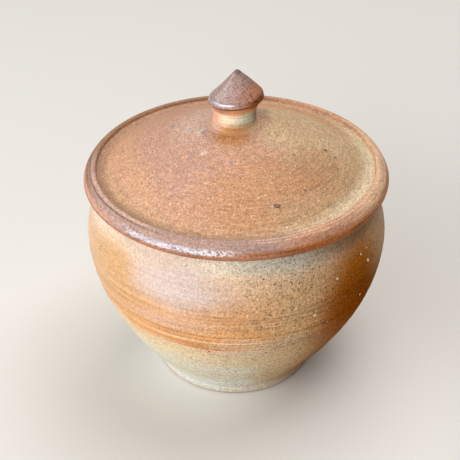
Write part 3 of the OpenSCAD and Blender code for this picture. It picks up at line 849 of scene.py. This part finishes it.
# Grains in the clay: white feldspar and melted iron, one small stone copied to marked points
stone = dict(
    subdivisions=2, lengths=(1.0, 1.6), seed=20.0, sheen=0.3, castFrom=0.2,  # rays start 0.2 m out
    white=dict(
        name="feldspar", colour=(0.92, 0.82, 0.64), shade=(0.86, 0.70, 0.50), rough=0.4, proud=0.3),
    dark=dict(
        name="meltedIron", colour=(0.11, 0.06, 0.035), shade=(0.22, 0.115, 0.065), rough=0.45, proud=0.12),
)


def grainTree(s):
    g, size = startTree("Grains on a wall", {"Proud": 0.2})
    pebble = g.add("GeometryNodeMeshIcoSphere", inputs={"Radius": 0.5, "Subdivisions": s["subdivisions"]})
    facing, width, long = g.attribute("facing", "FLOAT_VECTOR"), g.attribute("width"), g.attribute("long")
    turn = g.add("FunctionNodeAlignRotationToVector", {"axis": "Z"}, {"Vector": facing})
    scale = g.add("ShaderNodeCombineXYZ", inputs=[width * long, width, width * size["Proud"]])
    stones = g.add("GeometryNodeInstanceOnPoints", inputs={
        "Points": size["Geometry"], "Instance": pebble, "Rotation": turn, "Scale": scale})
    stones = g.add("GeometryNodeRealizeInstances", inputs={"Geometry": stones})
    stones = g.add("GeometryNodeSetShadeSmooth", inputs={"Geometry": stones})
    stones = g.add("GeometryNodeSetMaterial", inputs={"Geometry": stones, "Material": size["Material"]})
    g.node("NodeGroupOutput", inputs=[stones])
    return g.tree


def grainSkin(s, seed, sheen):
    k = Skin(s["name"], seed)
    k.start(s["colour"])
    k.lay(s["shade"], k.noise(0.5) + 0.5)
    rough = s["rough"] + k.noise(0.4) * 0.2
    coat = 0.3 + k.noise(1.0) * 0.3
    return k.fire(rough, coat, k.noise(0.3) * 0.05, sheen)


# Sets the given grains and more random ones on a piece, by rays to the axis or straight down
def setGrains(host, p, kind, look):
    s, name = p["grains"], host.name + kind.capitalize() + "Grains"
    wall = BVHTree.FromPolygons([v.co for v in host.data.vertices], [f.vertices for f in host.data.polygons])
    draw = random.Random(s["seed"] + len(s[kind]))
    ranges = ((-180, 180), (s["lowest"], s["highest"]), s[kind + "Widths"])
    more = [[draw.uniform(*ends) for ends in ranges] for _ in range(s["more" + kind.capitalize()])]
    down = Vector((0, 0, -1))
    spots, facings, widths, lengths = [], [], [], []
    for angle, place, width in [*s[kind], *more]:
        out = Vector((math.sin(math.radians(angle)), -math.cos(math.radians(angle)), 0))
        if s["fromAbove"]:
            spot, facing, _, _ = wall.ray_cast(out * place * mm - down * stone["castFrom"], down)
        else:
            spot, facing, _, _ = wall.ray_cast(out * stone["castFrom"] - down * place * mm, -out)
        spots.append(spot)
        facings.extend(facing)
        widths.append(width * mm)
        lengths.append(draw.uniform(*stone["lengths"]))
    mesh = bpy.data.meshes.new(name + "Spots")
    mesh.from_pydata(spots, [], [])
    mesh.attributes.new("facing", "FLOAT_VECTOR", "POINT").data.foreach_set("vector", facings)
    mesh.attributes.new("width", "FLOAT", "POINT").data.foreach_set("value", widths)
    mesh.attributes.new("long", "FLOAT", "POINT").data.foreach_set("value", lengths)
    piece = grow(name, mesh, pebbles, {"Proud": stone[kind]["proud"], "Material": look})
    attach(piece, p["body"])
    print("set", name, len(spots), "grains")


pebbles = grainTree(stone)
grainLooks = {kind: grainSkin(stone[kind], stone["seed"], stone["sheen"]) for kind in ("white", "dark")}
for host, p in ((pot, potPiece), (lid, lidPiece)):
    for kind, look in grainLooks.items():
        setGrains(host, p, kind, look)

# Studio: pale floor, a tall window to the left, a soft box overhead and a faint sky
studio = dict(
    floorSide=3.0, floorColour=(0.80, 0.77, 0.73, 1), bounceColour=(0.46, 0.35, 0.25, 1), floorRough=0.9,
    lamps=(  # name, azimuth and height in degrees, distance, width and height in metres, watts, colour
        ("window", -42.0, 21.0, 0.9, 1.36, 0.65, 10.6, (0.96, 0.98, 1.0)),
        ("sideLight", -99.0, 22.0, 1.0, 0.55, 0.5, 1.9, (0.90, 0.96, 1.0)),
        ("softBox", 142.0, 68.0, 1.2, 1.0, 0.9, 11.0, (1.0, 0.98, 0.95)),
    ),
    lampAim=(0, 0, 0.06), skyColour=(1.0, 0.97, 0.94, 1), skyStrength=0.1,
)
camera = dict(  # place in millimetres, turns in degrees
    distance=356.7, height=290.8, yaw=-0.365, pitch=33.77, roll=-0.399, focalPixels=1205.0, picture=460,
    sensorWidth=36.0, nearest=0.01,
)


def layFloor(s):
    side = s["floorSide"]
    mesh = bpy.data.meshes.new("floor")
    corners = [(-side, -side, 0), (side, -side, 0), (side, side, 0), (-side, side, 0)]
    mesh.from_pydata(corners, [], [(0, 1, 2, 3)])
    floor = bpy.data.objects.new("floor", mesh)
    bpy.context.scene.collection.objects.link(floor)
    look = bpy.data.materials.new("paleFloor")
    look.use_nodes = True
    g = Graph(look.node_tree)
    path = g.node("ShaderNodeLightPath")
    rays = ("Is Camera Ray", "Is Glossy Ray", "Is Transmission Ray")
    seen = sum(Wire(g, path.outputs[key]) for key in rays)
    colour = g.add("ShaderNodeMix", {"data_type": "RGBA"},
                   {0: seen, 6: s["bounceColour"], 7: s["floorColour"]}, out=2)
    shader = look.node_tree.nodes["Principled BSDF"]
    look.node_tree.links.new(colour.socket, shader.inputs["Base Color"])
    shader.inputs["Roughness"].default_value = s["floorRough"]
    mesh.materials.append(look)
    print("floor laid")


def hangLamps(s):
    for name, azimuth, height, distance, width, tall, watts, colour in s["lamps"]:
        lamp = bpy.data.lights.new(name, "AREA")
        lamp.shape = "RECTANGLE"
        lamp.size, lamp.size_y = width, tall
        lamp.energy, lamp.color = watts, colour
        stand = bpy.data.objects.new(name, lamp)
        turn, rise = math.radians(azimuth), math.radians(height)
        away = Vector((math.sin(turn) * math.cos(rise), -math.cos(turn) * math.cos(rise), math.sin(rise)))
        stand.location = Vector(s["lampAim"]) + away * distance
        stand.rotation_euler = away.to_track_quat("Z", "Y").to_euler()
        bpy.context.scene.collection.objects.link(stand)
    world = bpy.data.worlds.new("sky")
    world.use_nodes = True
    sky = world.node_tree.nodes["Background"]
    sky.inputs["Color"].default_value = s["skyColour"]
    sky.inputs["Strength"].default_value = s["skyStrength"]
    bpy.context.scene.world = world
    print("lamps hung", len(s["lamps"]))


def setCamera(c):
    yaw, pitch, roll = (math.radians(c[key]) for key in ("yaw", "pitch", "roll"))
    forward = Vector((math.sin(yaw) * math.cos(pitch), math.cos(yaw) * math.cos(pitch), -math.sin(pitch)))
    level = Vector((math.cos(yaw), -math.sin(yaw), 0))
    rise = level.cross(forward)
    right = math.cos(roll) * level + math.sin(roll) * rise
    up = math.cos(roll) * rise - math.sin(roll) * level
    data = bpy.data.cameras.new("camera")
    data.sensor_fit = "HORIZONTAL"
    data.sensor_width = c["sensorWidth"]
    data.lens = c["focalPixels"] / c["picture"] * c["sensorWidth"]
    data.clip_start = c["nearest"]
    stand = bpy.data.objects.new("camera", data)
    turn = Matrix((right, up, -forward)).transposed().to_4x4()
    stand.matrix_world = Matrix.Translation((0, -c["distance"] * mm, c["height"] * mm)) @ turn
    bpy.context.scene.collection.objects.link(stand)
    bpy.context.scene.camera = stand
    print("camera set, lens", round(data.lens, 1))


layFloor(studio)
hangLamps(studio)
setCamera(camera)
bpy.context.scene.view_settings.view_transform = "Standard"
